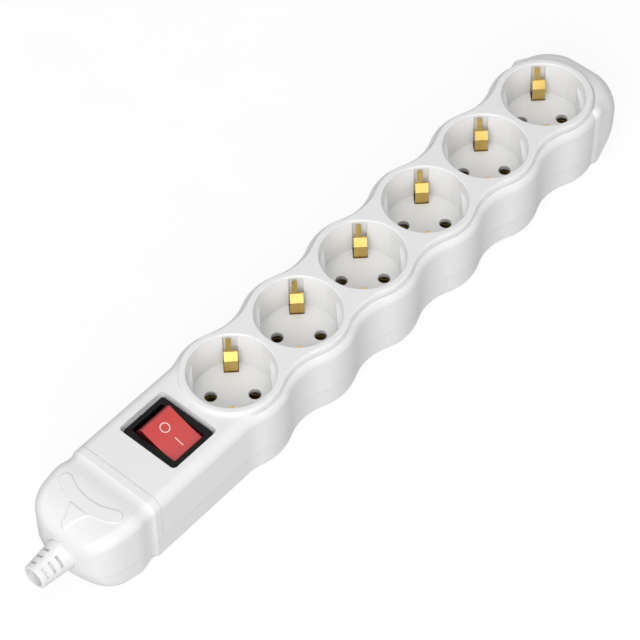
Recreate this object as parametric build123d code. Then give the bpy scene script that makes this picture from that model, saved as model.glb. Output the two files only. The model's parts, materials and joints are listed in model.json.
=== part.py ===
from build123d import *
import os
from math import asin, atan2, cos, pi, sin, sqrt

# Six-way power strip with earthed round sockets (CEE 7/3), a lit double-pole rocker switch and a
# separate cord-end cover.  Millimetres.  +X runs from the cord end to the tail, +Z is up, and the
# origin is under the middle of the strip, on the surface that it stands on.

# ---- overall sizes -------------------------------------------------------------------------------
SOCKETS = 6
PITCH = 42.7                # from one socket's axis to the next
HEIGHT = 37.6               # socket field above the underside
DECK_Z = 35.8               # flat deck around the switch
SPLIT_Z = 11.3              # joint between the base tray and the upper mouldings
WALL = 2.0                  # thickness of the mouldings
GAP = 0.1                   # joint gap between two mouldings
ROOT = 0.1                  # how far ribs and posts sink into the wall that they stand on
BOOT_REACH = 120.3          # first socket's axis to the cord boot's tip
NOSE_REACH = 104.8          # first socket's axis to the cover's foremost point
TAIL_REACH = 33.6           # last socket's axis to the tail's end
SEAM_REACH = 68.3           # first socket's axis to the cover's seam

LENGTH = BOOT_REACH + (SOCKETS - 1) * PITCH + TAIL_REACH
FIRST_X = BOOT_REACH - LENGTH / 2
SOCKET_X = [FIRST_X + i * PITCH for i in range(SOCKETS)]
LAST_X = SOCKET_X[-1]
SEAM_X = FIRST_X - SEAM_REACH
CORD_Z = 16.8               # height of the cord's axis, and the widest level of nose and tail
FAR = 400.0                 # longer than the whole strip, for cutting blocks
CUT = 1.0                   # how far a cut starts outside the surface that it opens
NEAR = 0.01                 # margin for picking edges by their level

# ---- outline seen from above ---------------------------------------------------------------------
BULGE_R = 26.1              # side bulge around each socket
WAIST_R = 26.0              # hollow between two bulges
BAR_HALF = 23.4             # half width of the straight part
JOIN_R = 20.0               # hollow between the straight part and the first bulge
SHOULDER_R = 5.0            # rounded upper edge
FOOT_R = 2.0                # rounded lower edge
LEAST_R = 0.6               # smallest rounding kept inside the shell
FIELD_INSET = 3.1           # socket field's edge, inside the outline
FIELD_LIP_R = 1.2           # rounded lip of the socket field
GROOVE_INSET = 2.3          # outer edge of the groove along the field
GROOVE_Z = 34.5             # bottom of that groove
GROOVE_FADE_X = FIRST_X - 8.0
GROOVE_FADE = 5.0           # length over which the groove fades out
WAIST_Y = sqrt((BULGE_R + WAIST_R) ** 2 - (PITCH / 2) ** 2)
MEET = atan2(WAIST_Y, PITCH / 2)    # where a bulge runs into a waist

# ---- nose and tail: rounded boxes that close in along X by power laws ----------------------------
NOSE_START = 72.0           # in front of the first socket's axis
TAIL_START = 13.2           # behind the last socket's axis
NOSE = dict(half=BAR_HALF, crown=DECK_Z, side_power=3.5, top_power=4.5, foot_power=5.0,
            shoulder_gain=0.0, foot_gain=13.0, gain_power=5.0)
TAIL = dict(half=25.3, crown=DECK_Z - 0.3, side_power=2.84, top_power=3.8, foot_power=2.06,
            shoulder_gain=10.5, foot_gain=13.3, gain_power=0.61)
NOSE_STATIONS = [0.0, 0.25, 0.45, 0.6, 0.72, 0.81, 0.88, 0.93, 0.965, 0.988]
TAIL_STATIONS = [-0.6, -0.3, 0.0, 0.25, 0.45, 0.6, 0.72, 0.82, 0.89, 0.94, 0.97, 0.988]

# ---- tongue of the base tray ---------------------------------------------------------------------
TONGUE_INSET = 1.1
REBATE_INSET = 1.0
TONGUE_H = 1.4
REBATE_H = 1.6

# ---- sockets -------------------------------------------------------------------------------------
WELL_TOP_R = 19.5
WELL_FLOOR_R = 18.0
WELL_DEPTH = 17.5
WELL_FLOOR_Z = HEIGHT - WELL_DEPTH
WELL_FLOOR_T = 2.2
WELL_UNDER_Z = WELL_FLOOR_Z - WELL_FLOOR_T
WELL_SLEEVE_R = PITCH / 2 + 0.4     # outside of the well's wall: neighbours share a web
WELL_LIP_R = 0.7
FLAT_OFFSET = 16.7          # guide flats, from the socket's axis
FLAT_TOP_Z = HEIGHT - 6.0
PIN_OFFSET = 9.5            # half of the 19 mm pin spacing
PIN_HOLE_R = 2.8
PIN_ANGLE = -45.0           # direction of the pin holes, seen from above
EARTH_ANGLE = 45.0          # direction of the earth contacts
SLOT_HALF = 3.3             # half width of the slots for the earth contacts
SLOT_IN_R = 12.5
SLOT_OUT_R = 20.4
SLOT_TOP_Z = HEIGHT - 1.4

# ---- brass parts ---------------------------------------------------------------------------------
SHEET = 0.8                 # brass sheet thickness
PIN_AXIS = PIN_OFFSET / sqrt(2)     # sideways offset of each pin hole along X and Y
CLIP_OUT_R = 3.15
CLIP_IN_R = 2.4
CLIP_LOW_Z = 5.0
CLIP_TOP_Z = 16.6
CLIP_SLIT = 1.2
CLIP_SLIT_Z = 7.0
TAB_HALF = 2.0
TAB_LOW_Z = 7.0
TAB_TOP_Z = 11.0
BAR_IN_Y = 9.9              # inner face of the live and neutral bars
BAR_OUT_Y = BAR_IN_Y + SHEET
BAR_LOW_Z = 6.0
BAR_TOP_Z = 12.0
BARS_START_X = FIRST_X - 24.0
BARS_END_X = LAST_X + PIN_AXIS + 4.0
EARTH_BUS_HALF = 2.2
EARTH_BUS_Z = 15.4
EARTH_BUS_END_X = LAST_X + 6.0
EARTH_CLIP_HALF = 3.0
EARTH_BRIDGE_Z = EARTH_BUS_Z + SHEET
FINGER_HALF = 1.2
FINGER_SHIFT = 0.8          # the narrow finger sits off the strip's centre line
FINGER_Z = 30.4             # the contact narrows above this height
EARTH_ARM = [(14.2, 16.6), (13.3, 20.1), (13.3, 27.0), (16.0, 30.2), (18.2, 36.0)]

# ---- rocker switch -------------------------------------------------------------------------------
SWITCH_X = FIRST_X - 39.3
POCKET_X = 26.6             # pocket in the deck
POCKET_Y = 31.8
POCKET_R = 2.0
POCKET_FLOOR_Z = 32.4
POCKET_UNDER_Z = 30.4
BEZEL_X = 24.8
BEZEL_Y = 29.8
BEZEL_R = 1.5
BEZEL_TOP_Z = 33.8
BEZEL_EDGE_R = 0.3
CAN_X = 21.6                # body of the switch below the deck
CAN_Y = 26.8
CAN_LOW_Z = 15.4
CAN_ROOM = 0.4              # the cut-out is this much larger than the can
SNAP_REACH = 0.7            # snap wedges under the pocket's floor
SNAP_HALF_X = 4.0
SNAP_LOW_Z = 27.4
SNAP_TOP_Z = 30.3
CAVITY_X = 18.2
CAVITY_Y = 24.8
CAVITY_LOW_Z = 17.4
PIVOT_Z = 27.6
ROCKER_X = 17.6
ROCKER_Y = 19.0             # over the ends of its top
ROCKER_RISE = 7.5           # the ends of its top above the pivot
ROCKER_DISH = 6.9           # the middle of its top above the pivot
ROCKER_DROP = 1.7           # underside below the pivot
ROCKER_EDGE_R = 0.5
ROCKER_TILT = 18.0          # at rest the end marked O stands up, which is ON
ROCKER_PIN_R = 1.5
ROCKER_PIN_REACH = 10.2     # half length over the two pins
RUNNING = 0.05              # clearance around pivots, plungers and terminal cages
POLE_X = 5.5                # each pole's offset from the switch's middle
LEVER_X = 3.2
LEVER_HALF = 6.5
LEVER_Z = 21.6              # axis of the round bead on which a contact lever tilts
LEVER_TILT = 8.0
BLADE_X = 4.8
BLADE_LOW_Z = 11.0
BLADE_MIDDLE_TOP_Z = LEVER_Z - SHEET - GAP
BLADE_END_TOP_Z = 20.6
BLADE_ROOM = 0.05
PLUNGER_R = 1.3
PLUNGER_TIP = 5.15          # the tip below the pivot, in the rocker's own frame
PLUNGER_END = 0.9           # the blunt end above the pivot
PLUNGER_HOLE_TOP = 5.3      # the end of the plunger's hole above the pivot
SPRING_WIRE_R = 0.18
SPRING_R = 1.0
SPRING_TURNS = 6
LAMP_R = 1.9
LAMP_HALF = 4.5
LAMP_Z = 22.0

# ---- cord end ------------------------------------------------------------------------------------
BOOT_ROOT_R = 7.2
BOOT_TIP_R = 5.7
BOOT_BORE_R = 4.2
BOOT_EDGE_R = 0.5
BOOT_FLANGE_R = 9.4
BOOT_FLANGE_T = 2.0
BOOT_HOLE_R = 7.3
BOOT_TIP_X = FIRST_X - BOOT_REACH
BOOT_ROOT_X = FIRST_X - NOSE_REACH - 0.2
FLANGE_ROOM = 0.2           # the flange's pocket is this much larger in radius
FLANGE_POCKET = 4.0         # depth of that pocket
FLANGE_X = FIRST_X - 99.4   # outer face of the flange, behind the nose's wall
BOOT_SLOT_REACH = [109.6, 113.4, 117.1]     # first socket's axis to each row of slots
BOOT_SLOT_ANGLES = [-130.0, -40.0, 50.0, 140.0]     # slot middles around the axis, from +Y
BOOT_SLOT_HALF_ANGLE = 29.0
BOOT_SLOT_W = 1.3
BOOT_SLOT_FLOOR_R = 4.9
BAND_X = FIRST_X - 61.0     # centre of the raised arc band on the cover
BAND_R = 28.3
BAND_HALF = 3.0
BAND_ANGLE = 30.0
BAND_RISE = 0.4
RIDGE_RISE = 0.7            # low ridge that runs from the band towards the boot
RIDGE_START = (FIRST_X - 90.0, 8.4)         # x and half width at its base
RIDGE_END = (FIRST_X - 99.5, 3.2)
RIDGE_BASE_Z = 30.0
RIDGE_TAPER = 20.0          # slope of its flanks
CLAMP_X = FIRST_X - 93.0
CLAMP_HALF_X = 3.0
CLAMP_HALF_Y = 12.0
CLAMP_LOW_Z = 20.0
CLAMP_TOP_Z = 23.0
CLAMP_SCREW_Y = 9.0
CLAMP_POST_R = 3.0
SADDLE_TOP_Z = 12.6
SADDLE_HALF_X = 1.5
CLAMP_CORNER_R = 1.5
CLAMP_HOLE_R = 1.3
CLAMP_PILOT_DEPTH = 9.0
CLAMP_SCREW_DEPTH = 8.0
CLAMP_HEAD_R = 2.5
CLAMP_HEAD_H = 1.6
TERMINAL_X = FIRST_X - 78.2
TERMINAL_HALF_X = 5.2
TERMINAL_HALF_Y = 14.0
TERMINAL_LOW_Z = 2.4
TERMINAL_TOP_Z = 14.0
TERMINAL_Y = {"earth": -9.0, "live": 0.0, "neutral": 9.0}
CAGE_HALF_X = 3.5
CAGE_HALF_Y = 2.6
CAGE_LOW_Z = 4.6
CAGE_TOP_Z = 10.6
WIRE_Z = 7.6
WIRE_HOLE_R = 1.6
TERMINAL_SCREW_R = 1.4
TERMINAL_HEAD_R = 2.0
TERMINAL_HEAD_TOP_Z = 13.4
TERMINAL_HEAD_LIFT = 0.6    # the head and the tip stay this far from the cage and the wire's axis
TERMINAL_SLOT_HALF = 0.4
TERMINAL_SLOT_DEPTH = 0.9
ACCESS_R = 2.2

# ---- leads ---------------------------------------------------------------------------------------
LEAD_R = 1.0
LEAD_BEND_R = 1.7
CAGE_FACE_X = TERMINAL_X + CAGE_HALF_X
LIVE_BLADE_X = SWITCH_X - POLE_X
NEUTRAL_BLADE_X = SWITCH_X + POLE_X
OUT_Z = 8.4                 # height of the leads from the switch to the bars
UNDER_Z = 4.4               # height of the neutral lead below the others
LIVE_OUT_Y = -8.0
EARTH_LEAD_Y = -12.4
NEUTRAL_DIVE_X = (CAGE_FACE_X + 8.0, CAGE_FACE_X + 14.0)
EARTH_SHIFT_X = (CAGE_FACE_X + 5.0, CAGE_FACE_X + 10.0)
BARS_JOIN_X = (BARS_START_X - 6.0, BARS_START_X - 2.6)
EARTH_RISE_X = FIRST_X - 27.0
BAR_Y = BAR_IN_Y + SHEET / 2
BUS_MIDDLE_Z = EARTH_BUS_Z + SHEET / 2

# ---- screws --------------------------------------------------------------------------------------
SCREW_R = 1.2
SCREW_HEAD_R = 2.7
SCREW_HEAD_Z = 0.5
SCREW_SEAT_Z = 2.4
SCREW_TIP_Z = 14.0
SCREW_CROSS = 3.2           # length of the cross recess
SCREW_CROSS_W = 0.7
SCREW_CROSS_DEPTH = 1.1
SEAT_R = 3.0
SCREW_HOLE_R = 1.7
PILOT_R = 1.25
PILOT_TOP_Z = 14.5
PAD_R = 4.2
PAD_TOP_Z = 4.2
POST_R = 3.2
POST_LOW_Z = PAD_TOP_Z + GAP / 2
POST_TOP_Z = 34.0
SIDE_SCREW_Y = 15.0
FRONT_SCREW_X = FIRST_X - 60.5
FRONT_SCREW_Y = 17.0
COVER_SCREW_X = FIRST_X - 88.0
COVER_SCREW_Y = 15.5
TAIL_SCREW_X = LAST_X + 18.0
WAIST_SCREWS = [(SOCKET_X[i] + PITCH / 2, side * SIDE_SCREW_Y) for i in (0, 2, 4) for side in (-1, 1)]
FRONT_SCREWS = [(FRONT_SCREW_X, side * FRONT_SCREW_Y) for side in (-1, 1)]
TAIL_SCREW = (TAIL_SCREW_X, 0.0)
COVER_SCREWS = [(COVER_SCREW_X, side * COVER_SCREW_Y) for side in (-1, 1)]
CLAMP_SCREWS = [(CLAMP_X, side * CLAMP_SCREW_Y) for side in (-1, 1)]

# ---- inside of the base tray ---------------------------------------------------------------------
CRADLE_HALF_X = 1.5
CRADLE_HALF_Y = 11.5
PIN_POCKET_R = 2.9
PIN_POCKET_Z = 0.8          # leaves room for 19 mm pins


# ---- small helpers -------------------------------------------------------------------------------
def block(x0, x1, y0, y1, z0, z1):
    """A box given by its limits."""
    centre = ((x0 + x1) / 2, (y0 + y1) / 2, (z0 + z1) / 2)
    return Pos(*centre) * Box(x1 - x0, y1 - y0, z1 - z0)


def rounded_block(x, size_x, size_y, r, z0, z1):
    """An upright block centred on y = 0, with rounded corners seen from above."""
    return Pos(x, 0, z0) * extrude(RectangleRounded(size_x, size_y, r), z1 - z0)


def upright(x, y, r, z0, z1):
    """A round bar along Z."""
    return Pos(x, y, (z0 + z1) / 2) * Cylinder(r, z1 - z0)


def lengthwise(y, z, r, x0, x1):
    """A round bar along X."""
    return Pos((x0 + x1) / 2, y, z) * Rot(0, 90, 0) * Cylinder(r, x1 - x0)


def crosswise(x, z, r, y0, y1):
    """A round bar along Y."""
    return Pos(x, (y0 + y1) / 2, z) * Rot(90, 0, 0) * Cylinder(r, y1 - y0)


def at_socket(x, angle, shape):
    """Turn a shape built about the Z axis and put it on a socket's axis."""
    return Pos(x, 0, 0) * Rot(0, 0, angle) * shape


def arc_points(centre, radius, start, end):
    """First, middle and last point of a circular arc between two angles in radians."""
    angles = (start, (start + end) / 2, end)
    return [(centre[0] + radius * cos(a), centre[1] + radius * sin(a)) for a in angles]


def plan_arc(x, y, radius, start, end, side=1):
    """An arc seen from above; side -1 mirrors it to the other side of the strip."""
    return ThreePointArc(*[(px, side * py) for px, py in arc_points((x, y), radius, start, end)])


def across(points, half):
    """A solid whose outline is given in X and Z, from y = -half to y = half."""
    face = make_face(Polyline(*[(x, 0, z) for x, z in points], close=True))
    return extrude(face, half, both=True, dir=(0, 1, 0))


# ---- outer form ----------------------------------------------------------------------------------
def wave_side(side, inset):
    """Waists and bulges along one side, from the first waist to the last."""
    edges = []
    for i, x in enumerate(SOCKET_X[:-1]):
        if i > 0:
            edges.append(plan_arc(x, 0, BULGE_R - inset, pi - MEET, MEET, side))
        edges.append(plan_arc(x + PITCH / 2, WAIST_Y, WAIST_R + inset, MEET - pi, -MEET, side))
    return edges


def bar_outline(inset):
    """Straight part and bulges, from the nose's start round the last socket."""
    join_y = BAR_HALF + JOIN_R
    join_x = FIRST_X - sqrt((BULGE_R + JOIN_R) ** 2 - join_y ** 2)
    join_meet = atan2(join_y, join_x - FIRST_X)
    front_x = FIRST_X - NOSE_START
    half = BAR_HALF - inset
    edges = [Line((front_x, -half), (front_x, half))]
    for side in (-1, 1):
        edges.append(Line((front_x, side * half), (join_x, side * half)))
        edges.append(plan_arc(join_x, join_y, JOIN_R + inset, -pi / 2, join_meet - pi, side))
        edges.append(plan_arc(FIRST_X, 0, BULGE_R - inset, join_meet, MEET, side))
        edges += wave_side(side, inset)
    edges.append(plan_arc(LAST_X, 0, BULGE_R - inset, pi - MEET, MEET - pi))
    return make_face(edges)


def field_outline(inset):
    """Edge of the raised socket field: the same wave, closed around both end sockets."""
    edges = wave_side(-1, inset) + wave_side(1, inset)
    edges.append(plan_arc(FIRST_X, 0, BULGE_R - inset, MEET, 2 * pi - MEET))
    edges.append(plan_arc(LAST_X, 0, BULGE_R - inset, pi - MEET, MEET - pi))
    return make_face(edges)


def rounded_section(x, half, low, high, foot_r, shoulder_r):
    """Rounded rectangle across the strip at x."""
    edges = []
    for side in (-1, 1):
        foot = arc_points((half - foot_r, low + foot_r), foot_r, -pi / 2, 0)
        shoulder = arc_points((half - shoulder_r, high - shoulder_r), shoulder_r, 0, pi / 2)
        for run in (foot, shoulder):
            edges.append(ThreePointArc(*[(x, side * y, z) for y, z in run]))
        edges.append(Line((x, side * half, low + foot_r), (x, side * half, high - shoulder_r)))
    edges.append(Line((x, foot_r - half, low), (x, half - foot_r, low)))
    edges.append(Line((x, shoulder_r - half, high), (x, half - shoulder_r, high)))
    return make_face(edges)


def left_of(share, power):
    """Fraction of the full size left at a share of the way to the end."""
    return (1 - abs(share) ** power) ** (1 / power)


def end_form(law, start_x, reach, stations, inset):
    """Nose or tail as a loft of sections, from start_x along the signed reach."""
    sections = []
    depth = reach - inset * (1 if reach > 0 else -1)
    for share in stations:
        half = law["half"] * left_of(share, law["side_power"]) - inset
        high = CORD_Z + (law["crown"] - CORD_Z) * left_of(share, law["top_power"]) - inset
        low = CORD_Z * (1 - left_of(share, law["foot_power"])) + inset
        room = 0.9 * min(half, (high - low) / 2)
        gain = max(share, 0) ** law["gain_power"]
        shoulder_r = min(SHOULDER_R + law["shoulder_gain"] * gain - inset, room)
        foot_r = min(FOOT_R + law["foot_gain"] * gain - inset, room)
        sections.append(rounded_section(start_x + depth * share, half, low, high,
                                        max(foot_r, LEAST_R), max(shoulder_r, LEAST_R)))
    return loft(sections)


def rim(solid, level):
    """Edges around the outline at one level, without the front edge shared with the nose."""
    around = solid.edges().filter_by_position(Axis.Z, level - NEAR, level + NEAR)
    return around.filter_by_position(Axis.X, FIRST_X - NOSE_START + NEAR, FAR)


def outer_form(inset):
    """The strip's outside without the raised field, or that shape brought in by an inset."""
    bar = Pos(0, 0, inset) * extrude(bar_outline(inset), DECK_Z - 2 * inset)
    bar = fillet(rim(bar, DECK_Z - inset), max(SHOULDER_R - inset, LEAST_R))
    bar = fillet(rim(bar, inset), max(FOOT_R - inset, LEAST_R))
    nose_reach = NOSE_START - NOSE_REACH
    nose = end_form(NOSE, FIRST_X - NOSE_START, nose_reach, NOSE_STATIONS, inset)
    tail = end_form(TAIL, LAST_X + TAIL_START, TAIL_REACH - TAIL_START, TAIL_STATIONS, inset)
    return bar + nose + tail


# ---- mouldings -----------------------------------------------------------------------------------
def raised_field():
    """Wave-edged plateau that the sockets sit in."""
    root_z = DECK_Z - WALL
    field = Pos(0, 0, root_z) * extrude(field_outline(FIELD_INSET), HEIGHT - root_z)
    return fillet(field.edges().filter_by_position(Axis.Z, HEIGHT - NEAR, HEIGHT + NEAR), FIELD_LIP_R)


def field_groove():
    """Shallow groove outside the field, which fades out in front of the first socket."""
    ring = extrude(field_outline(GROOVE_INSET), FAR) - extrude(field_outline(FIELD_INSET), FAR)
    start_x = GROOVE_FADE_X - GROOVE_FADE
    ramp = [(start_x, DECK_Z + ROOT), (GROOVE_FADE_X, GROOVE_Z), (FAR, GROOVE_Z), (FAR, HEIGHT),
            (start_x, HEIGHT)]
    return ring & across(ramp, BULGE_R * 2)


def well_profile():
    """Half section of a well, with its rounded lip, for turning about Z."""
    lip_x = WELL_TOP_R + WELL_LIP_R
    lip_z = HEIGHT - WELL_LIP_R
    dip = WELL_LIP_R / sqrt(2)
    edges = [Line((0, WELL_FLOOR_Z), (WELL_FLOOR_R, WELL_FLOOR_Z)),
             Line((WELL_FLOOR_R, WELL_FLOOR_Z), (WELL_TOP_R, lip_z)),
             ThreePointArc((WELL_TOP_R, lip_z), (lip_x - dip, lip_z + dip), (lip_x, HEIGHT)),
             Line((lip_x, HEIGHT), (lip_x, HEIGHT + CUT)),
             Line((lip_x, HEIGHT + CUT), (0, HEIGHT + CUT)),
             Line((0, HEIGHT + CUT), (0, WELL_FLOOR_Z))]
    return Plane.XZ * make_face(edges)


def well_cut():
    """Everything that is cut away at one socket: well, pin holes and slots for the earth clip."""
    well = revolve(well_profile(), Axis.Z)
    for side in (-1, 1):
        flat = block(FLAT_OFFSET, FAR, -FAR, FAR, 0, FLAT_TOP_Z)
        well -= Rot(0, 0, PIN_ANGLE + (90 - 90 * side)) * flat
    cut = well
    for side in (-1, 1):
        hole = upright(side * PIN_OFFSET, 0, PIN_HOLE_R, WELL_UNDER_Z - CUT, WELL_FLOOR_Z + CUT)
        cut += Rot(0, 0, PIN_ANGLE) * hole
        slot = block(SLOT_IN_R, SLOT_OUT_R, -SLOT_HALF, SLOT_HALF, WELL_UNDER_Z - CUT, SLOT_TOP_Z)
        cut += Rot(0, 0, EARTH_ANGLE + (90 - 90 * side)) * slot
    return cut


def post(x, y, top_z):
    """Screw post with its pilot hole."""
    return upright(x, y, POST_R, POST_LOW_Z, top_z) - upright(x, y, PILOT_R, 0, PILOT_TOP_Z)


def rebate(rebate_form, inside):
    """Step inside the upper mouldings' lower edge that the tray's tongue fits into."""
    return (rebate_form & block(-FAR, FAR, -FAR, FAR, SPLIT_Z - CUT, SPLIT_Z + REBATE_H)) - inside


def upper_housing(outside, inside, rebate_form):
    """Upper moulding with the six wells, the switch's pocket and the screw posts."""
    keep = block(SEAM_X + GAP / 2, FAR, -FAR, FAR, SPLIT_Z + GAP / 2, FAR)
    solid_parts = [upright(x, 0, WELL_SLEEVE_R, WELL_UNDER_Z, FAR) for x in SOCKET_X]
    solid_parts.append(rounded_block(SWITCH_X, POCKET_X + 2 * WALL, POCKET_Y + 2 * WALL, POCKET_R + WALL,
                                     POCKET_UNDER_Z, FAR))
    hollow = (inside & keep) - solid_parts
    shell = (outside & keep) + raised_field() - [hollow, rebate(rebate_form, inside), field_groove()]
    shell += [post(x, y, POST_TOP_Z) for x, y in WAIST_SCREWS + FRONT_SCREWS]
    shell += post(*TAIL_SCREW, WELL_UNDER_Z + ROOT)
    well = well_cut()
    cuts = [Pos(x, 0, 0) * well for x in SOCKET_X]
    cuts.append(rounded_block(SWITCH_X, POCKET_X, POCKET_Y, POCKET_R, POCKET_FLOOR_Z, FAR))
    cuts.append(rounded_block(SWITCH_X, CAN_X + CAN_ROOM, CAN_Y + CAN_ROOM, LEAST_R, 0, FAR))
    return shell - cuts


def boot_seat(outside):
    """Ring behind the nose's wall that the boot's flange bears on."""
    ring = lengthwise(0, CORD_Z, BOOT_FLANGE_R, FIRST_X - NOSE_REACH, FLANGE_X - GAP / 2)
    return ring & outside


def boot_clearance():
    """Hole for the boot's neck, and room for its flange."""
    hole = lengthwise(0, CORD_Z, BOOT_HOLE_R, BOOT_TIP_X, FLANGE_X + CUT)
    return hole + lengthwise(0, CORD_Z, BOOT_FLANGE_R + FLANGE_ROOM, FLANGE_X - GAP / 2,
                             FLANGE_X + FLANGE_POCKET)


def arc_band():
    """Raised arc band across the top of the cover, with round ends."""
    start = pi - BAND_ANGLE * pi / 180
    end = pi + BAND_ANGLE * pi / 180
    edges = [plan_arc(BAND_X, 0, BAND_R - BAND_HALF, start, end),
             plan_arc(BAND_X, 0, BAND_R + BAND_HALF, start, end)]
    for angle, turn in ((start, -pi / 2), (end, pi / 2)):
        x = BAND_X + BAND_R * cos(angle)
        y = BAND_R * sin(angle)
        edges.append(plan_arc(x, y, BAND_HALF, angle, angle + 2 * turn))
    column = Pos(0, 0, CORD_Z) * extrude(make_face(edges), FAR)
    return column & outer_form(-BAND_RISE)


def ridge():
    """Low ridge in front of the band, which narrows to a round end."""
    start_x, start_y = RIDGE_START
    end_x, end_y = RIDGE_END
    plan = make_face(Polyline((start_x, start_y), (end_x, end_y), (end_x, -end_y), (start_x, -start_y),
                              close=True))
    column = extrude(plan + Pos(end_x, 0) * Circle(end_y), HEIGHT - RIDGE_BASE_Z, taper=RIDGE_TAPER)
    column = Pos(0, 0, RIDGE_BASE_Z) * column - upright(BAND_X, 0, BAND_R + BAND_HALF, 0, FAR)
    return column & outer_form(-RIDGE_RISE)


def end_cover(outside, inside, rebate_form):
    """Separate cover over the terminals, with the arc band and the ridge towards the boot."""
    keep = block(-FAR, SEAM_X - GAP / 2, -FAR, FAR, SPLIT_Z + GAP / 2, FAR)
    shell = (outside & keep) + [arc_band(), ridge()]
    shell -= inside & keep
    shell += boot_seat(outside) & keep
    shell -= [rebate(rebate_form, inside), boot_clearance()]
    return shell + [post(x, y, POST_TOP_Z) & outside for x, y in COVER_SCREWS]


def cradles():
    """Ribs at the waists that the live and neutral bars stand on."""
    ribs = []
    for x in SOCKET_X[:-1]:
        middle = x + PITCH / 2
        ribs.append(block(middle - CRADLE_HALF_X, middle + CRADLE_HALF_X, -CRADLE_HALF_Y, CRADLE_HALF_Y,
                          WALL - ROOT, BAR_LOW_Z))
    return ribs


def clamp_saddle():
    """Two posts for the clamp's screws, and the rib between them that the cord lies on."""
    posts = [upright(x, y, CLAMP_POST_R, WALL - ROOT, CLAMP_LOW_Z) for x, y in CLAMP_SCREWS]
    rib = block(CLAMP_X - SADDLE_HALF_X, CLAMP_X + SADDLE_HALF_X, -CLAMP_SCREW_Y, CLAMP_SCREW_Y,
                WALL - ROOT, SADDLE_TOP_Z)
    return posts + [rib]


def base_tray(outside, inside, tongue_form):
    """Lower tray: pads for the screws, cradles for the bars, clamp posts and the tongue."""
    keep = block(-FAR, FAR, -FAR, FAR, 0, SPLIT_Z - GAP / 2)
    tongue = tongue_form & block(-FAR, FAR, -FAR, FAR, SPLIT_Z - CUT, SPLIT_Z + TONGUE_H)
    places = WAIST_SCREWS + FRONT_SCREWS + COVER_SCREWS + [TAIL_SCREW]
    tray = (outside & keep) + tongue - inside
    tray += [upright(x, y, PAD_R, 0, PAD_TOP_Z) & outside for x, y in places]
    tray += [boot_seat(outside) & keep] + cradles() + clamp_saddle()
    holes = [upright(x, y, SEAT_R, -CUT, SCREW_SEAT_Z) for x, y in places]
    holes += [upright(x, y, SCREW_HOLE_R, 0, PAD_TOP_Z + CUT) for x, y in places]
    holes += [upright(x, y, PILOT_R, CLAMP_LOW_Z - CLAMP_PILOT_DEPTH, FAR) for x, y in CLAMP_SCREWS]
    for x in SOCKET_X:
        for side in (-1, 1):
            holes.append(upright(x + side * PIN_AXIS, -side * PIN_AXIS, PIN_POCKET_R, PIN_POCKET_Z, WALL + CUT))
    return tray - holes - boot_clearance()


# ---- cord end ------------------------------------------------------------------------------------
def boot_profile():
    """Half section of the boot in x and radius, for turning about the cord's axis."""
    inner_x = FLANGE_X + BOOT_FLANGE_T
    points = [(inner_x, BOOT_BORE_R), (inner_x, BOOT_FLANGE_R), (FLANGE_X, BOOT_FLANGE_R),
              (FLANGE_X, BOOT_ROOT_R), (BOOT_ROOT_X, BOOT_ROOT_R),
              (BOOT_TIP_X + BOOT_EDGE_R, BOOT_TIP_R), (BOOT_TIP_X, BOOT_TIP_R - BOOT_EDGE_R),
              (BOOT_TIP_X, BOOT_BORE_R)]
    return make_face(Polyline(*[(x, 0, CORD_Z + r) for x, r in points], close=True))


def boot_slot(x, angle):
    """One slot around part of the boot, which stops short of the bore."""
    ring = lengthwise(0, 0, BOOT_ROOT_R + CUT, -BOOT_SLOT_W / 2, BOOT_SLOT_W / 2)
    ring -= lengthwise(0, 0, BOOT_SLOT_FLOOR_R, -BOOT_SLOT_W, BOOT_SLOT_W)
    reach = 2 * BOOT_ROOT_R
    spread = BOOT_SLOT_HALF_ANGLE * pi / 180
    wedge = make_face(Polyline((0, 0, 0), (0, reach * cos(spread), -reach * sin(spread)),
                               (0, reach * cos(spread), reach * sin(spread)), close=True))
    sector = Pos(-BOOT_SLOT_W, 0, 0) * extrude(wedge, 2 * BOOT_SLOT_W, dir=(1, 0, 0))
    return Pos(x, 0, CORD_Z) * Rot(angle, 0, 0) * (ring & sector)


def cord_boot():
    """Slotted strain relief with its flange; the cord's bore goes right through."""
    axis = Axis((0, 0, CORD_Z), (1, 0, 0))
    boot = revolve(boot_profile(), axis)
    for reach in BOOT_SLOT_REACH:
        for angle in BOOT_SLOT_ANGLES:
            boot -= boot_slot(FIRST_X - reach, angle)
    return boot


def cord_clamp():
    """Bar that presses the cord into the saddle."""
    bar = block(CLAMP_X - CLAMP_HALF_X, CLAMP_X + CLAMP_HALF_X, -CLAMP_HALF_Y, CLAMP_HALF_Y,
                CLAMP_LOW_Z, CLAMP_TOP_Z)
    bar = fillet(bar.edges().filter_by(Axis.Z), CLAMP_CORNER_R)
    bar -= lengthwise(0, CORD_Z, BOOT_BORE_R, CLAMP_X - CLAMP_HALF_X - CUT, CLAMP_X + CLAMP_HALF_X + CUT)
    for x, y in CLAMP_SCREWS:
        bar -= upright(x, y, CLAMP_HOLE_R, CLAMP_LOW_Z - CUT, CLAMP_TOP_Z + CUT)
    return bar


# ---- screws --------------------------------------------------------------------------------------
def cross_recess(x, y, z0, z1):
    """Cross-shaped driver recess."""
    half = SCREW_CROSS / 2
    thin = SCREW_CROSS_W / 2
    return block(x - half, x + half, y - thin, y + thin, z0, z1) + block(x - thin, x + thin, y - half,
                                                                         y + half, z0, z1)


def screw_from_below(x, y):
    """Housing screw: its head is in the tray's underside."""
    head = upright(x, y, SCREW_HEAD_R, SCREW_HEAD_Z, SCREW_SEAT_Z)
    head -= cross_recess(x, y, SCREW_HEAD_Z, SCREW_HEAD_Z + SCREW_CROSS_DEPTH)
    return head + upright(x, y, SCREW_R, SCREW_SEAT_Z, SCREW_TIP_Z)


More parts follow.
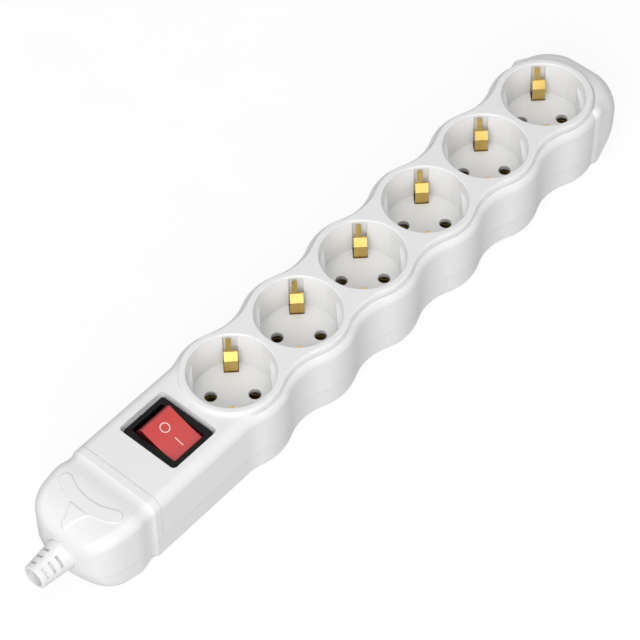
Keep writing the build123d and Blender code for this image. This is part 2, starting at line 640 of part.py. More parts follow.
def screw_from_above(x, y):
    """Clamp screw: its head is on the clamp's bar."""
    top_z = CLAMP_TOP_Z + CLAMP_HEAD_H
    head = upright(x, y, CLAMP_HEAD_R, CLAMP_TOP_Z, top_z)
    head -= cross_recess(x, y, top_z - SCREW_CROSS_DEPTH, top_z)
    return head + upright(x, y, SCREW_R, CLAMP_LOW_Z - CLAMP_SCREW_DEPTH, CLAMP_TOP_Z)


# ---- terminal block ------------------------------------------------------------------------------
def terminal_block():
    """Insulating block with a chamber for each brass cage."""
    body = block(TERMINAL_X - TERMINAL_HALF_X, TERMINAL_X + TERMINAL_HALF_X, -TERMINAL_HALF_Y,
                 TERMINAL_HALF_Y, TERMINAL_LOW_Z, TERMINAL_TOP_Z)
    for y in TERMINAL_Y.values():
        body -= block(TERMINAL_X - CAGE_HALF_X - RUNNING, TERMINAL_X + CAGE_HALF_X + RUNNING,
                      y - CAGE_HALF_Y - RUNNING, y + CAGE_HALF_Y + RUNNING,
                      CAGE_LOW_Z - RUNNING, CAGE_TOP_Z + RUNNING)
        body -= lengthwise(y, WIRE_Z, WIRE_HOLE_R, TERMINAL_X - FAR, TERMINAL_X + FAR)
        body -= upright(TERMINAL_X, y, ACCESS_R, CAGE_TOP_Z, TERMINAL_TOP_Z + CUT)
    return body


def terminal_cage(y):
    """Brass cage with the wire's hole and the screw's hole."""
    cage = block(TERMINAL_X - CAGE_HALF_X, TERMINAL_X + CAGE_HALF_X, y - CAGE_HALF_Y, y + CAGE_HALF_Y,
                 CAGE_LOW_Z, CAGE_TOP_Z)
    cage -= lengthwise(y, WIRE_Z, WIRE_HOLE_R, TERMINAL_X - FAR, TERMINAL_X + FAR)
    return cage - upright(TERMINAL_X, y, TERMINAL_SCREW_R + RUNNING, WIRE_Z, CAGE_TOP_Z + CUT)


def terminal_screw(y):
    """Screw that clamps the wire in a cage."""
    head_z = CAGE_TOP_Z + TERMINAL_HEAD_LIFT
    shank = upright(TERMINAL_X, y, TERMINAL_SCREW_R, WIRE_Z + TERMINAL_HEAD_LIFT, head_z)
    head = upright(TERMINAL_X, y, TERMINAL_HEAD_R, head_z, TERMINAL_HEAD_TOP_Z)
    slot = block(TERMINAL_X - TERMINAL_HEAD_R, TERMINAL_X + TERMINAL_HEAD_R, y - TERMINAL_SLOT_HALF,
                 y + TERMINAL_SLOT_HALF, TERMINAL_HEAD_TOP_Z - TERMINAL_SLOT_DEPTH, TERMINAL_HEAD_TOP_Z)
    return shank + head - slot


# ---- rocker switch -------------------------------------------------------------------------------
def blade_places():
    """Middle and end blade of each pole: x, y and the blade's top."""
    places = []
    for x in (LIVE_BLADE_X, NEUTRAL_BLADE_X):
        places.append((x, 0.0, BLADE_MIDDLE_TOP_Z))
        places.append((x, LEVER_HALF, BLADE_END_TOP_Z))
    return places


def switch_frame():
    """Bezel and can, with the rocker's cavity, its pivot holes and slits for the blades."""
    body = rounded_block(SWITCH_X, BEZEL_X, BEZEL_Y, BEZEL_R, POCKET_FLOOR_Z, BEZEL_TOP_Z)
    body = fillet(body.edges().filter_by_position(Axis.Z, BEZEL_TOP_Z - NEAR, BEZEL_TOP_Z + NEAR), BEZEL_EDGE_R)
    body += block(SWITCH_X - CAN_X / 2, SWITCH_X + CAN_X / 2, -CAN_Y / 2, CAN_Y / 2, CAN_LOW_Z, POCKET_FLOOR_Z)
    for side in (-1, 1):
        inner = side * CAN_Y / 2
        outer = side * (CAN_Y / 2 + SNAP_REACH)
        wedge = Polyline((SWITCH_X, inner, SNAP_LOW_Z), (SWITCH_X, outer, SNAP_TOP_Z),
                         (SWITCH_X, inner, SNAP_TOP_Z), close=True)
        body += extrude(make_face(wedge), SNAP_HALF_X, both=True, dir=(1, 0, 0))
    body -= rounded_block(SWITCH_X, CAVITY_X, CAVITY_Y, LEAST_R, CAVITY_LOW_Z, FAR)
    body -= lengthwise(0, PIVOT_Z, ROCKER_PIN_R + RUNNING, SWITCH_X - ROCKER_PIN_REACH - GAP,
                       SWITCH_X + ROCKER_PIN_REACH + GAP)
    for x, y, _ in blade_places():
        body -= blade(x, y, CAVITY_LOW_Z + CUT, BLADE_ROOM)
    return body


def blade(x, y, top_z, room=0.0):
    """One contact blade, or, with room, the slit that it stands in."""
    half_x = BLADE_X / 2 + room
    half_y = SHEET / 2 + room
    return block(x - half_x, x + half_x, y - half_y, y + half_y, BLADE_LOW_Z, top_z)


def in_rocker(shape):
    """Place a shape built about the pivot into the rocker as it stands at rest."""
    return Pos(SWITCH_X, 0, PIVOT_Z) * Rot(ROCKER_TILT, 0, 0) * shape


def switch_rocker():
    """Dished rocker with its two pins and the holes for the plungers; its ends turn about the pivot."""
    half_y = ROCKER_Y / 2
    radius = sqrt(half_y ** 2 + ROCKER_RISE ** 2)
    high = atan2(ROCKER_RISE, half_y)
    low = -asin(ROCKER_DROP / radius)
    foot_y = radius * cos(low)
    edges = [ThreePointArc((0, -half_y, ROCKER_RISE), (0, 0, ROCKER_DISH), (0, half_y, ROCKER_RISE)),
             Line((0, foot_y, -ROCKER_DROP), (0, -foot_y, -ROCKER_DROP))]
    for side in (-1, 1):
        end = arc_points((0, 0), radius, high, low)
        edges.append(ThreePointArc(*[(0, side * y, z) for y, z in end]))
    body = extrude(make_face(edges), ROCKER_X / 2, both=True, dir=(1, 0, 0))
    top = body.edges().filter_by_position(Axis.Z, ROCKER_DISH - ROOT, ROCKER_RISE + ROOT)
    body = fillet(top, ROCKER_EDGE_R)
    body += lengthwise(0, 0, ROCKER_PIN_R, -ROCKER_PIN_REACH, ROCKER_PIN_REACH)
    for side in (-1, 1):
        body -= upright(side * POLE_X, 0, PLUNGER_R + RUNNING, -ROCKER_DROP - CUT, PLUNGER_HOLE_TOP)
    return in_rocker(body)


def plunger(x):
    """Round-ended pin that pushes a contact lever."""
    pin = upright(x, 0, PLUNGER_R, PLUNGER_R - PLUNGER_TIP, PLUNGER_END)
    return in_rocker(pin + Pos(x, 0, PLUNGER_R - PLUNGER_TIP) * Sphere(PLUNGER_R))


def plunger_spring(x):
    """Coil spring between a plunger and the end of its hole."""
    low = PLUNGER_END + SPRING_WIRE_R
    height = PLUNGER_HOLE_TOP - SPRING_WIRE_R - low
    path = Helix(height / SPRING_TURNS, height, SPRING_R)
    section = Plane(path @ 0, z_dir=path % 0) * Circle(SPRING_WIRE_R)
    return in_rocker(Pos(x, 0, low) * sweep(section, path))


def contact_lever(x):
    """Rocking contact of one pole, with a round bead over its middle blade, tilted onto its end blade."""
    plate = block(-LEVER_X / 2, LEVER_X / 2, -LEVER_HALF, LEVER_HALF, 0, SHEET)
    plate += lengthwise(0, 0, SHEET, -LEVER_X / 2, LEVER_X / 2)
    return Pos(x, 0, LEVER_Z) * Rot(-LEVER_TILT, 0, 0) * plate


def switch_lamp():
    """Neon lamp between the two poles."""
    glass = crosswise(SWITCH_X, LAMP_Z, LAMP_R, -LAMP_HALF + LAMP_R, LAMP_HALF - LAMP_R)
    for side in (-1, 1):
        glass += Pos(SWITCH_X, side * (LAMP_HALF - LAMP_R), LAMP_Z) * Sphere(LAMP_R)
    return glass


# ---- bars, clips and leads -----------------------------------------------------------------------
def bus_bar(side):
    """Live (-1) or neutral (+1) bar that stands on edge in the tray's cradles."""
    low = min(side * BAR_IN_Y, side * BAR_OUT_Y)
    return block(BARS_START_X, BARS_END_X, low, low + SHEET, BAR_LOW_Z, BAR_TOP_Z)


def earth_bus_bar():
    """Flat strip under the six earth clips."""
    return block(BARS_START_X, EARTH_BUS_END_X, -EARTH_BUS_HALF, EARTH_BUS_HALF, EARTH_BUS_Z, EARTH_BRIDGE_Z)


def pin_clip(x, side):
    """Split tube that grips a plug's pin, with the tab that joins it to its bar."""
    centre_x = x - side * PIN_AXIS
    centre_y = side * PIN_AXIS
    clip = upright(centre_x, centre_y, CLIP_OUT_R, CLIP_LOW_Z, CLIP_TOP_Z)
    near = centre_y + side * (CLIP_IN_R + ROOT)
    tab_y = sorted((near, side * BAR_IN_Y))
    clip += block(centre_x - TAB_HALF, centre_x + TAB_HALF, tab_y[0], tab_y[1], TAB_LOW_Z, TAB_TOP_Z)
    clip -= upright(centre_x, centre_y, CLIP_IN_R, CLIP_LOW_Z - CUT, CLIP_TOP_Z + CUT)
    slit_y = sorted((centre_y, centre_y - side * 2 * CLIP_OUT_R))
    return clip - block(centre_x - CLIP_SLIT / 2, centre_x + CLIP_SLIT / 2, slit_y[0], slit_y[1],
                        CLIP_SLIT_Z, CLIP_TOP_Z + CUT)


def strip_face(points, thickness):
    """Sheet metal of one thickness seen edge-on, bent along points given in X and Z."""
    offsets = []
    for i, (x, z) in enumerate(points):
        before = points[max(i - 1, 0)]
        after = points[min(i + 1, len(points) - 1)]
        heading_in = atan2(z - before[1], x - before[0])
        heading_out = atan2(after[1] - z, after[0] - x)
        if i == 0:
            heading_in = heading_out
        if i == len(points) - 1:
            heading_out = heading_in
        middle = (heading_in + heading_out) / 2
        reach = thickness / 2 / cos((heading_out - heading_in) / 2)
        offsets.append((-reach * sin(middle), reach * cos(middle)))
    left = [(x + dx, 0, z + dz) for (x, z), (dx, dz) in zip(points, offsets)]
    right = [(x - dx, 0, z - dz) for (x, z), (dx, dz) in zip(points, offsets)]
    return make_face(Polyline(*left, *reversed(right), close=True))


def earth_clip(x):
    """U-shaped earth contact: a bridge on the earth bar and two springy arms."""
    arm = extrude(strip_face(EARTH_ARM, SHEET), EARTH_CLIP_HALF, both=True, dir=(0, 1, 0))
    clip = block(-EARTH_ARM[0][0], EARTH_ARM[0][0], -EARTH_CLIP_HALF, EARTH_CLIP_HALF,
                 EARTH_BRIDGE_Z, EARTH_BRIDGE_Z + SHEET)
    for side in (-1, 1):
        shift = FINGER_SHIFT * side
        keep = block(0, FAR, shift - FINGER_HALF, shift + FINGER_HALF, 0, FAR)
        keep += block(0, FAR, -EARTH_CLIP_HALF, EARTH_CLIP_HALF, 0, FINGER_Z)
        clip += Rot(0, 0, 90 - 90 * side) * (arm & keep)
    return at_socket(x, EARTH_ANGLE, clip)


def lead(points):
    """Insulated single-core lead along a route with rounded corners."""
    path = FilletPolyline(*points, radius=LEAD_BEND_R) if len(points) > 2 else Line(*points)
    section = Plane(path @ 0, z_dir=path % 0) * Circle(LEAD_R)
    return sweep(section, path)


def lead_routes():
    """Where each lead runs, from its first contact to its last."""
    neutral_y = TERMINAL_Y["neutral"]
    earth_y = TERMINAL_Y["earth"]
    return {
        "live_lead_in": [(CAGE_FACE_X, 0, WIRE_Z), (LIVE_BLADE_X, 0, WIRE_Z),
                         (LIVE_BLADE_X, 0, BLADE_LOW_Z)],
        "neutral_lead_in": [(CAGE_FACE_X, neutral_y, WIRE_Z), (NEUTRAL_DIVE_X[0], neutral_y, WIRE_Z),
                            (NEUTRAL_DIVE_X[1], neutral_y, UNDER_Z), (NEUTRAL_BLADE_X, neutral_y, UNDER_Z),
                            (NEUTRAL_BLADE_X, 0, UNDER_Z), (NEUTRAL_BLADE_X, 0, BLADE_LOW_Z)],
        "live_lead_out": [(LIVE_BLADE_X, LEVER_HALF, BLADE_LOW_Z), (LIVE_BLADE_X, LEVER_HALF, OUT_Z),
                          (SWITCH_X, LEVER_HALF, OUT_Z), (SWITCH_X, LIVE_OUT_Y, OUT_Z),
                          (BARS_JOIN_X[0], LIVE_OUT_Y, OUT_Z), (BARS_JOIN_X[1], -BAR_Y, OUT_Z),
                          (BARS_START_X, -BAR_Y, OUT_Z)],
        "neutral_lead_out": [(NEUTRAL_BLADE_X, LEVER_HALF, BLADE_LOW_Z), (NEUTRAL_BLADE_X, LEVER_HALF, OUT_Z),
                             (BARS_JOIN_X[0], LEVER_HALF, OUT_Z), (BARS_JOIN_X[1], BAR_Y, OUT_Z),
                             (BARS_START_X, BAR_Y, OUT_Z)],
        "earth_lead": [(CAGE_FACE_X, earth_y, WIRE_Z), (EARTH_SHIFT_X[0], earth_y, WIRE_Z),
                       (EARTH_SHIFT_X[1], EARTH_LEAD_Y, WIRE_Z), (EARTH_RISE_X, EARTH_LEAD_Y, WIRE_Z),
                       (EARTH_RISE_X, EARTH_LEAD_Y, BUS_MIDDLE_Z), (EARTH_RISE_X, 0, BUS_MIDDLE_Z),
                       (BARS_START_X, 0, BUS_MIDDLE_Z)],
    }


# ---- the whole strip -----------------------------------------------------------------------------
def all_parts():
    """Every sub-part by its node name."""
    outside = outer_form(0)
    inside = outer_form(WALL)
    rebate_form = outer_form(REBATE_INSET)
    tongue_form = outer_form(TONGUE_INSET)
    parts = {
        "upper_housing": upper_housing(outside, inside, rebate_form),
        "base_tray": base_tray(outside, inside, tongue_form),
        "end_cover": end_cover(outside, inside, rebate_form),
        "cord_boot": cord_boot(),
        "cord_clamp": cord_clamp(),
        "clamp_screws": [screw_from_above(x, y) for x, y in CLAMP_SCREWS],
        "housing_screws": [screw_from_below(x, y) for x, y in WAIST_SCREWS + FRONT_SCREWS + [TAIL_SCREW]],
        "cover_screws": [screw_from_below(x, y) for x, y in COVER_SCREWS],
        "terminal_block": terminal_block(),
        "terminal_cages": [terminal_cage(y) for y in TERMINAL_Y.values()],
        "terminal_screws": [terminal_screw(y) for y in TERMINAL_Y.values()],
        "switch_frame": switch_frame(),
        "switch_rocker": switch_rocker(),
        "switch_plungers": [plunger(x) for x in (-POLE_X, POLE_X)],
        "plunger_springs": [plunger_spring(x) for x in (-POLE_X, POLE_X)],
        "contact_levers": [contact_lever(x) for x in (LIVE_BLADE_X, NEUTRAL_BLADE_X)],
        "switch_blades": [blade(*place) for place in blade_places()],
        "switch_lamp": switch_lamp(),
        "live_bus_bar": bus_bar(-1),
        "neutral_bus_bar": bus_bar(1),
        "earth_bus_bar": earth_bus_bar(),
    }
    for name, points in lead_routes().items():
        parts[name] = lead(points)
    for i, x in enumerate(SOCKET_X, start=1):
        parts[f"live_clip_{i}"] = pin_clip(x, -1)
        parts[f"neutral_clip_{i}"] = pin_clip(x, 1)
        parts[f"earth_clip_{i}"] = earth_clip(x)
    return parts


os.makedirs("parts", exist_ok=True)
for node, shape in all_parts().items():
    if isinstance(shape, list):
        shape = Compound([solid for piece in shape for solid in piece.solids()])
    export_step(shape, f"parts/{node}.step")
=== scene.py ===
import bpy
import bmesh
import json
from math import cos, pi, radians, sin
from mathutils import Matrix, Vector


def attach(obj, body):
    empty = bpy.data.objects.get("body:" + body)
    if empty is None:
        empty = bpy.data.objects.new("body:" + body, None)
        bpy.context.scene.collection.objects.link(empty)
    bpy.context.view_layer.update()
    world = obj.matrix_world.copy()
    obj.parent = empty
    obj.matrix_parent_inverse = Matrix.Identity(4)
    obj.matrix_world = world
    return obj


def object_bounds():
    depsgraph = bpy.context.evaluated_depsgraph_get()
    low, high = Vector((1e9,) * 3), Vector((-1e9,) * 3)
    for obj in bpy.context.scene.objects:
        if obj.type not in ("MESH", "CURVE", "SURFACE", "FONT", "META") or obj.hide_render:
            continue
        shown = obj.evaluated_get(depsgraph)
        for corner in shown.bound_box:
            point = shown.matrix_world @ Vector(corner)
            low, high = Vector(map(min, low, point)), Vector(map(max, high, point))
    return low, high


# Studio picture of a six-way power strip.  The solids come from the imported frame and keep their
# places; this script gives them their materials and adds the rocker's printed marks, the camera,
# the lights and the floor.  Metres, in the frame's own axes: +X from the cord end to the tail, +Z up.

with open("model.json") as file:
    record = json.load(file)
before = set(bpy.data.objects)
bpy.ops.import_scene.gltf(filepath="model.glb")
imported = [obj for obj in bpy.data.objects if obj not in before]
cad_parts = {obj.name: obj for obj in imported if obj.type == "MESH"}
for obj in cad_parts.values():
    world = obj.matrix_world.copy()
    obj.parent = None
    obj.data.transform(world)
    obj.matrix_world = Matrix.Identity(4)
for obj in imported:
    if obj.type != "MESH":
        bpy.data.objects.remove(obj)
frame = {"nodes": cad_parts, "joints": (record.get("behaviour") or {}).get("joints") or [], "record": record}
cad_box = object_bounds()
nodes = frame["nodes"]
MM = 0.001
WHITE = (1, 1, 1, 1)

# ---- camera --------------------------------------------------------------------------------------
AZIMUTH = radians(-48.4)    # from -Y, towards -X when negative
ELEVATION = radians(51.216)
ROLL = radians(-0.478)
DISTANCE = 1.118145
AIM_FROM_MIDDLE = Vector((-18.16, -10.22, 37.6)) * MM   # from the middle of the strip's underside
SENSOR_MM = 36.0
LENS_MM = 146.45
CLIP_START = 0.05
CLIP_END = 20.0

# ---- rocker and the marks printed on it ----------------------------------------------------------
ROCKER_TILT = radians(18.0)
ROCKER_HALF_Y = 9.5 * MM    # half length of the rocker's top
ROCKER_TOP = 7.5 * MM       # the ends of its top above the pivot
ROCKER_DISH = 0.6 * MM      # its middle lies this much below its ends
GRID_PITCH = 0.62 * MM      # of the fine grid moulded under its top
RING_Y = 4.1 * MM
RING_R = 2.1 * MM
RING_STEPS = 64
BAR_Y = -4.2 * MM
BAR_HALF = 2.4 * MM
BAR_STEPS = 12
MARK_HALF_W = 0.22 * MM
MARK_RISE = 0.05 * MM       # a mark's top above the rocker
MARK_SINK = 0.025 * MM      # its underside below the rocker's top

# ---- studio --------------------------------------------------------------------------------------
SOFTBOXES = {               # place, size and watts
    "light_cord_end": ((-1.62, -0.77, 1.26), (1.5, 1.3), 24.0),
    "light_low_front": ((-0.95, -1.70, 0.62), (1.6, 0.8), 9.0),
    "light_above": ((0.10, 0.15, 2.1), (1.6, 1.2), 9.0),
}
SKY_LIGHT = 0.40
FLOOR_HALF = 4.0
FLOOR_CELLS = 24
FLOOR_GLOW = 0.30           # light that the floor gives to the strip
FLOOR_GLOW_SEEN = 0.52      # added where the floor itself is seen

# ---- materials -----------------------------------------------------------------------------------
NOISE_LOW = 0.3             # nearly all of a noise's values lie between these two
NOISE_HIGH = 0.7
BEVEL_SAMPLES = 6
STRIPE_REPEAT = 14 * MM     # of the earth lead's two colours


# ---- node helpers --------------------------------------------------------------------------------
class Shader:
    """Builds one procedural material."""

    def __init__(self, name):
        self.material = bpy.data.materials.new(name)
        self.material.use_nodes = True
        self.tree = self.material.node_tree
        self.surface = self.tree.nodes["Principled BSDF"]
        self.place = self.tree.nodes.new("ShaderNodeTexCoord").outputs["Object"]

    def node(self, kind, inputs=None, **settings):
        """A new node with its settings and its inputs by name."""
        made = self.tree.nodes.new(kind)
        for name, value in settings.items():
            setattr(made, name, value)
        for name, value in (inputs or {}).items():
            self.put(made.inputs[name], value)
        return made

    def put(self, socket, value):
        """Link an input to another node's output, or give it a plain value."""
        if isinstance(value, bpy.types.NodeSocket):
            self.tree.links.new(value, socket)
        else:
            socket.default_value = value

    def set(self, **values):
        """Principled inputs by name, with _ for a space."""
        for name, value in values.items():
            self.put(self.surface.inputs[name.replace("_", " ")], value)

    def stretched(self, scale):
        """The object's own coordinates, scaled along each axis."""
        made = self.node("ShaderNodeMapping", {"Vector": self.place, "Scale": scale})
        return made.outputs["Vector"]

    def parts(self, vector):
        """The three numbers of a vector."""
        return self.node("ShaderNodeSeparateXYZ", {"Vector": vector}).outputs

    def noise(self, scale, detail=3.0, roughness=0.5, place=None):
        made = self.node("ShaderNodeTexNoise", {"Vector": place or self.place, "Scale": scale,
                                                "Detail": detail, "Roughness": roughness})
        return made.outputs["Fac"]

    def spread(self, value, low, high):
        """A noise value stretched to a range of numbers."""
        made = self.node("ShaderNodeMapRange", {"Value": value, "To Min": low, "To Max": high,
                                                "From Min": NOISE_LOW, "From Max": NOISE_HIGH})
        return made.outputs["Result"]

    def blend(self, share, first, second):
        """A mix of two colours."""
        made = self.node("ShaderNodeMix", data_type="RGBA")
        colour_a, colour_b = [socket for socket in made.inputs if socket.type == "RGBA"]
        self.put(made.inputs["Factor"], share)
        self.put(colour_a, first)
        self.put(colour_b, second)
        return next(socket for socket in made.outputs if socket.type == "RGBA")

    def maths(self, kind, *numbers):
        """One arithmetic step."""
        made = self.node("ShaderNodeMath", operation=kind)
        for socket, number in zip(made.inputs, numbers):
            self.put(socket, number)
        return made.outputs[0]

    def relief(self, height, distance, strength=1.0, edge=0.0):
        """Bump over edges that are rounded for the light only."""
        inputs = {"Height": height, "Distance": distance, "Strength": strength}
        if edge:
            soft = self.node("ShaderNodeBevel", {"Radius": edge}, samples=BEVEL_SAMPLES)
            inputs["Normal"] = soft.outputs["Normal"]
        self.set(Normal=self.node("ShaderNodeBump", inputs).outputs["Normal"])


def grey(level, warmth=0.0):
    return (level, level * (1 - warmth), level * (1 - 2 * warmth), 1.0)


# ---- materials of the strip ----------------------------------------------------------------------
def moulded_plastic(name, light, dark, gloss, edge):
    """Injection-moulded plastic: faint flow marks, a fine texture and soft edges."""
    s = Shader(name)
    flow = s.noise(1.0, detail=2.0, place=s.stretched((18.0, 45.0, 45.0)))
    s.set(Base_Color=s.blend(flow, grey(dark), grey(light)),
          Roughness=s.spread(s.noise(260.0, detail=2.0), gloss - 0.03, gloss + 0.04),
          IOR=1.5, Coat_Weight=0.15, Coat_Roughness=0.12)
    s.relief(s.noise(2600.0, detail=2.0), 0.01 * MM, strength=0.6, edge=edge)
    return s.material


def black_plastic():
    s = Shader("switch_black")
    s.set(Base_Color=s.blend(s.noise(900.0), grey(0.004), grey(0.010)),
          Roughness=s.spread(s.noise(420.0), 0.22, 0.32), IOR=1.5, Specular_IOR_Level=0.3)
    s.relief(s.noise(3200.0), 0.01 * MM, strength=0.7, edge=0.25 * MM)
    return s.material


def rocker_plastic():
    """Red translucent plastic with a lamp below it and a fine grid moulded under its top. Faces that point
    up get a lighter red and a faint emission, which is painted light; the sides get a near-black red, which
    is painted shade.
    """
    s = Shader("rocker_red")
    along = s.parts(s.place)
    waves = [s.maths("SINE", s.maths("MULTIPLY", along[i], 2 * pi / GRID_PITCH)) for i in (0, 1)]
    grid = s.maths("MULTIPLY_ADD", s.maths("ADD", *waves), 0.25, 0.5)
    # Painted light and shade: how far a face points up picks the lighter red for the top and the near-black
    # red for the sides.
    facing_up = s.parts(s.node("ShaderNodeTexCoord").outputs["Normal"])[2]
    top = s.node("ShaderNodeMapRange", {"Value": facing_up, "From Min": 0.55, "From Max": 0.95},
                 interpolation_type="SMOOTHSTEP").outputs["Result"]
    painted_lit_red = s.blend(grid, (0.46, 0.035, 0.035, 1), (0.66, 0.085, 0.08, 1))
    painted_shade_red = s.blend(grid, (0.045, 0.001, 0.002, 1), (0.08, 0.002, 0.004, 1))
    colour = s.blend(top, painted_shade_red, painted_lit_red)
    cloud = s.spread(s.noise(160.0), 0.85, 1.1)
    # The glow lies on the upward faces only. It stands partly for the lamp inside and partly for painted
    # light on the top.
    lamp_and_painted_glow = s.maths("MULTIPLY", s.maths("MULTIPLY", top, 0.16), cloud)
    s.set(Base_Color=colour, Roughness=0.3, IOR=1.5, Specular_IOR_Level=0.4,
          Emission_Color=colour, Emission_Strength=lamp_and_painted_glow)
    s.relief(grid, 0.02 * MM, strength=0.35, edge=0.3 * MM)
    return s.material


def mark_paint_and_glow():
    s = Shader("mark_paint_and_glow")
    # The pink colour is the print. Its faint emission is a painted glow, since the marks are no lamp.
    s.set(Base_Color=s.blend(s.noise(1500.0), (0.86, 0.55, 0.53, 1), (0.95, 0.72, 0.70, 1)),
          Roughness=0.5, Emission_Color=(0.9, 0.6, 0.58, 1), Emission_Strength=0.12)
    s.relief(s.noise(4000.0), 0.01 * MM)
    return s.material


def rolled_brass():
    """Brass sheet: rolling lines, slight tarnish and bright sheared edges."""
    s = Shader("brass")
    lines = s.noise(1.0, detail=4.0, roughness=0.6, place=s.stretched((2400.0, 2400.0, 120.0)))
    tarnish = s.noise(140.0, detail=4.0, roughness=0.6)
    clean = s.blend(lines, (0.50, 0.32, 0.07, 1), (0.86, 0.66, 0.24, 1))
    s.set(Base_Color=s.blend(s.spread(tarnish, 0.0, 0.4), clean, (0.36, 0.21, 0.05, 1)),
          Metallic=1.0, Roughness=s.spread(lines, 0.3, 0.5))
    s.relief(lines, 0.015 * MM, strength=0.6, edge=0.15 * MM)
    return s.material


def plated_steel(name, tone, gloss):
    s = Shader(name)
    lines = s.noise(1.0, roughness=0.6, place=s.stretched((1800.0, 1800.0, 300.0)))
    s.set(Base_Color=s.blend(lines, grey(tone * 0.85), grey(tone)), Metallic=1.0,
          Roughness=s.spread(s.noise(700.0), gloss, gloss + 0.15))
    s.relief(lines, 0.01 * MM, strength=0.6, edge=0.1 * MM)
    return s.material


def nylon(name, tone):
    """Natural nylon: slightly yellow and waxy."""
    s = Shader(name)
    s.set(Base_Color=s.blend(s.noise(90.0), grey(tone * 0.94, 0.03), grey(tone, 0.03)),
          Roughness=s.spread(s.noise(500.0), 0.38, 0.5),
          Subsurface_Weight=0.15, Subsurface_Scale=0.8 * MM)
    s.relief(s.noise(2200.0), 0.02 * MM, strength=0.6, edge=0.2 * MM)
    return s.material


def insulation(name, colour, stripe=None):
    """Wire insulation; the earth lead has a second colour along one side."""
    s = Shader(name)
    shade = s.blend(s.noise(300.0), [c * 0.85 for c in colour[:3]] + [1], colour)
    if stripe:
        across = s.parts(s.place)
        turn = s.maths("MULTIPLY", s.maths("ADD", across[0], across[2]), 2 * pi / STRIPE_REPEAT)
        shade = s.blend(s.maths("GREATER_THAN", s.maths("SINE", turn), 0.2), shade, stripe)
    s.set(Base_Color=shade, Roughness=s.spread(s.noise(900.0), 0.4, 0.55))
    s.relief(s.noise(2600.0), 0.02 * MM)
    return s.material


def lamp_glass():
    s = Shader("lamp_glass")
    s.set(Base_Color=s.blend(s.noise(400.0), (1.0, 0.62, 0.42, 1), (1.0, 0.75, 0.58, 1)),
          Roughness=s.spread(s.noise(800.0), 0.04, 0.1), Transmission_Weight=0.7,
          Emission_Color=(1.0, 0.35, 0.15, 1), Emission_Strength=0.6)
    s.relief(s.noise(1200.0), 0.005 * MM)
    return s.material


def slot_materials():
    """One material for each of the record's slots."""
    return {
        "white_housing": moulded_plastic("white_housing", 0.89, 0.87, gloss=0.32, edge=0.35 * MM),
        "white_base": moulded_plastic("white_base", 0.87, 0.85, gloss=0.36, edge=0.35 * MM),
        "boot": moulded_plastic("boot", 0.87, 0.84, gloss=0.42, edge=0.2 * MM),
        "clear_nylon": nylon("clear_nylon", 0.72),
        "plunger_nylon": nylon("plunger_nylon", 0.78),
        "screw_steel": plated_steel("screw_steel", 0.62, 0.25),
        "spring_steel": plated_steel("spring_steel", 0.55, 0.2),
        "switch_black": black_plastic(),
        "rocker_red": rocker_plastic(),
        "lamp_glass": lamp_glass(),
        "brass": rolled_brass(),
        "lead_live": insulation("lead_live", (0.16, 0.06, 0.02, 1)),
        "lead_neutral": insulation("lead_neutral", (0.02, 0.09, 0.42, 1)),
        "lead_earth": insulation("lead_earth", (0.10, 0.36, 0.03, 1), (0.75, 0.62, 0.03, 1)),
    }


def dress_nodes(made):
    """Give every CAD node the material of its slot."""
    for part in frame["record"]["subparts"]:
        node = nodes[part["node"]]
        node.data.materials.clear()
        node.data.materials.append(made[part["material_slot"]])


# ---- marks on the rocker -------------------------------------------------------------------------
def rocker_pivot():
    return Vector(next(joint["pos_m"] for joint in frame["joints"] if joint["name"] == "rocker_tilt"))


def on_rocker(x, y, lift):
    """A point on the dished top of the tilted rocker."""
    z = ROCKER_TOP - ROCKER_DISH * (1 - (y / ROCKER_HALF_Y) ** 2) + lift
    return rocker_pivot() + Matrix.Rotation(ROCKER_TILT, 3, "X") @ Vector((x, y, z))


def ribbon(name, inner, outer, closed):
    """A slightly raised printed stroke between two lines of points on the rocker."""
    mesh = bpy.data.meshes.new(name)
    form = bmesh.new()
    low, high = [[[form.verts.new(on_rocker(x, y, lift)) for x, y in line] for line in (inner, outer)]
                 for lift in (-MARK_SINK, MARK_RISE)]
    count = len(inner)
    for i in range(count if closed else count - 1):
        j = (i + 1) % count
        form.faces.new((high[0][i], high[0][j], high[1][j], high[1][i]))
        form.faces.new((low[1][i], low[1][j], low[0][j], low[0][i]))
        form.faces.new((low[0][i], low[0][j], high[0][j], high[0][i]))
        form.faces.new((high[1][i], high[1][j], low[1][j], low[1][i]))
    if not closed:
        for i in (0, count - 1):
            form.faces.new((low[0][i], high[0][i], high[1][i], low[1][i]))
    bmesh.ops.recalc_face_normals(form, faces=form.faces)
    form.to_mesh(mesh)
    form.free()
    piece = bpy.data.objects.new(name, mesh)
    bpy.context.scene.collection.objects.link(piece)
    return piece


def circle_on_top(radius):
    """Points of a circle around the ring's middle."""
    turns = [2 * pi * i / RING_STEPS for i in range(RING_STEPS)]
    return [(radius * cos(turn), RING_Y + radius * sin(turn)) for turn in turns]


def line_on_top(x):
    """Points of a line beside the bar's middle line."""
    return [(x, BAR_Y - BAR_HALF + 2 * BAR_HALF * i / BAR_STEPS) for i in range(BAR_STEPS + 1)]


def rocker_marks(paint):
    """The ring and the bar that mark the rocker's two ends."""
    ring = ribbon("rocker_mark_ring", circle_on_top(RING_R - MARK_HALF_W),
                  circle_on_top(RING_R + MARK_HALF_W), closed=True)
    bar = ribbon("rocker_mark_bar", line_on_top(-MARK_HALF_W), line_on_top(MARK_HALF_W), closed=False)
    for piece in (ring, bar):
        piece.data.materials.append(paint)
        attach(piece, "rocker")


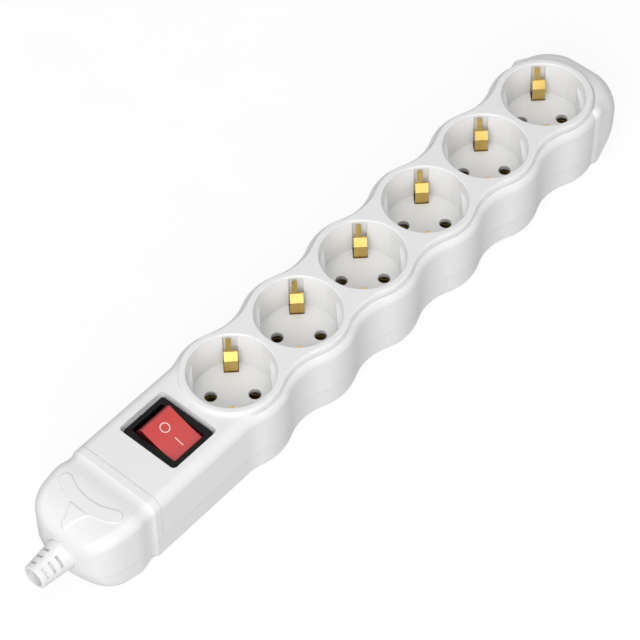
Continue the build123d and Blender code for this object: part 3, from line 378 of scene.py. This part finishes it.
# ---- camera, lights and floor --------------------------------------------------------------------
def make_camera():
    low, high = cad_box
    middle = Vector(((low.x + high.x) / 2, (low.y + high.y) / 2, low.z))
    back = Vector((sin(AZIMUTH) * cos(ELEVATION), -cos(AZIMUTH) * cos(ELEVATION), sin(ELEVATION)))
    right = Vector((0, 0, 1)).cross(back).normalized()
    up = back.cross(right)
    turned_right = cos(ROLL) * right + sin(ROLL) * up
    turned_up = cos(ROLL) * up - sin(ROLL) * right
    turn = Matrix((turned_right, turned_up, back)).transposed().to_4x4()
    camera = bpy.data.objects.new("camera", bpy.data.cameras.new("camera"))
    camera.data.sensor_width = SENSOR_MM
    camera.data.lens = LENS_MM
    camera.data.clip_start = CLIP_START
    camera.data.clip_end = CLIP_END
    camera.matrix_world = Matrix.Translation(middle + AIM_FROM_MIDDLE + back * DISTANCE) @ turn
    bpy.context.scene.collection.objects.link(camera)
    bpy.context.scene.camera = camera


def make_softbox(name, place, size, watts):
    """A flat light that faces the frame's origin."""
    lamp = bpy.data.lights.new(name, "AREA")
    lamp.shape = "RECTANGLE"
    lamp.size, lamp.size_y = size
    lamp.energy = watts
    holder = bpy.data.objects.new(name, lamp)
    holder.location = place
    holder.rotation_mode = "QUATERNION"
    holder.rotation_quaternion = (-Vector(place)).to_track_quat("-Z", "Y")
    bpy.context.scene.collection.objects.link(holder)


def make_lights():
    for name, (place, size, watts) in SOFTBOXES.items():
        make_softbox(name, place, size, watts)
    world = bpy.data.worlds.new("studio")
    world.use_nodes = True
    sky = world.node_tree.nodes["Background"].inputs
    sky["Color"].default_value = WHITE
    sky["Strength"].default_value = SKY_LIGHT
    bpy.context.scene.world = world


def floor_paper():
    """Pale studio paper, shown brighter than the light that it gives."""
    s = Shader("studio_floor")
    seen = s.node("ShaderNodeLightPath").outputs["Is Camera Ray"]
    s.set(Base_Color=s.blend(s.noise(35.0, detail=4.0), grey(0.19), grey(0.21)),
          Roughness=s.spread(s.noise(120.0), 0.75, 0.9), Specular_IOR_Level=0.1,
          Emission_Color=WHITE,
          Emission_Strength=s.maths("MULTIPLY_ADD", seen, FLOOR_GLOW_SEEN, FLOOR_GLOW))
    s.relief(s.noise(900.0, detail=4.0), 0.02 * MM, strength=0.4)
    return s.material


def make_floor():
    mesh = bpy.data.meshes.new("studio_floor")
    form = bmesh.new()
    bmesh.ops.create_grid(form, x_segments=FLOOR_CELLS, y_segments=FLOOR_CELLS, size=FLOOR_HALF)
    form.to_mesh(mesh)
    form.free()
    floor = bpy.data.objects.new("studio_floor", mesh)
    floor.location.z = cad_box[0].z
    mesh.materials.append(floor_paper())
    bpy.context.scene.collection.objects.link(floor)


bpy.context.scene.view_settings.view_transform = "Standard"
make_camera()
make_lights()
make_floor()
dress_nodes(slot_materials())
rocker_marks(mark_paint_and_glow())
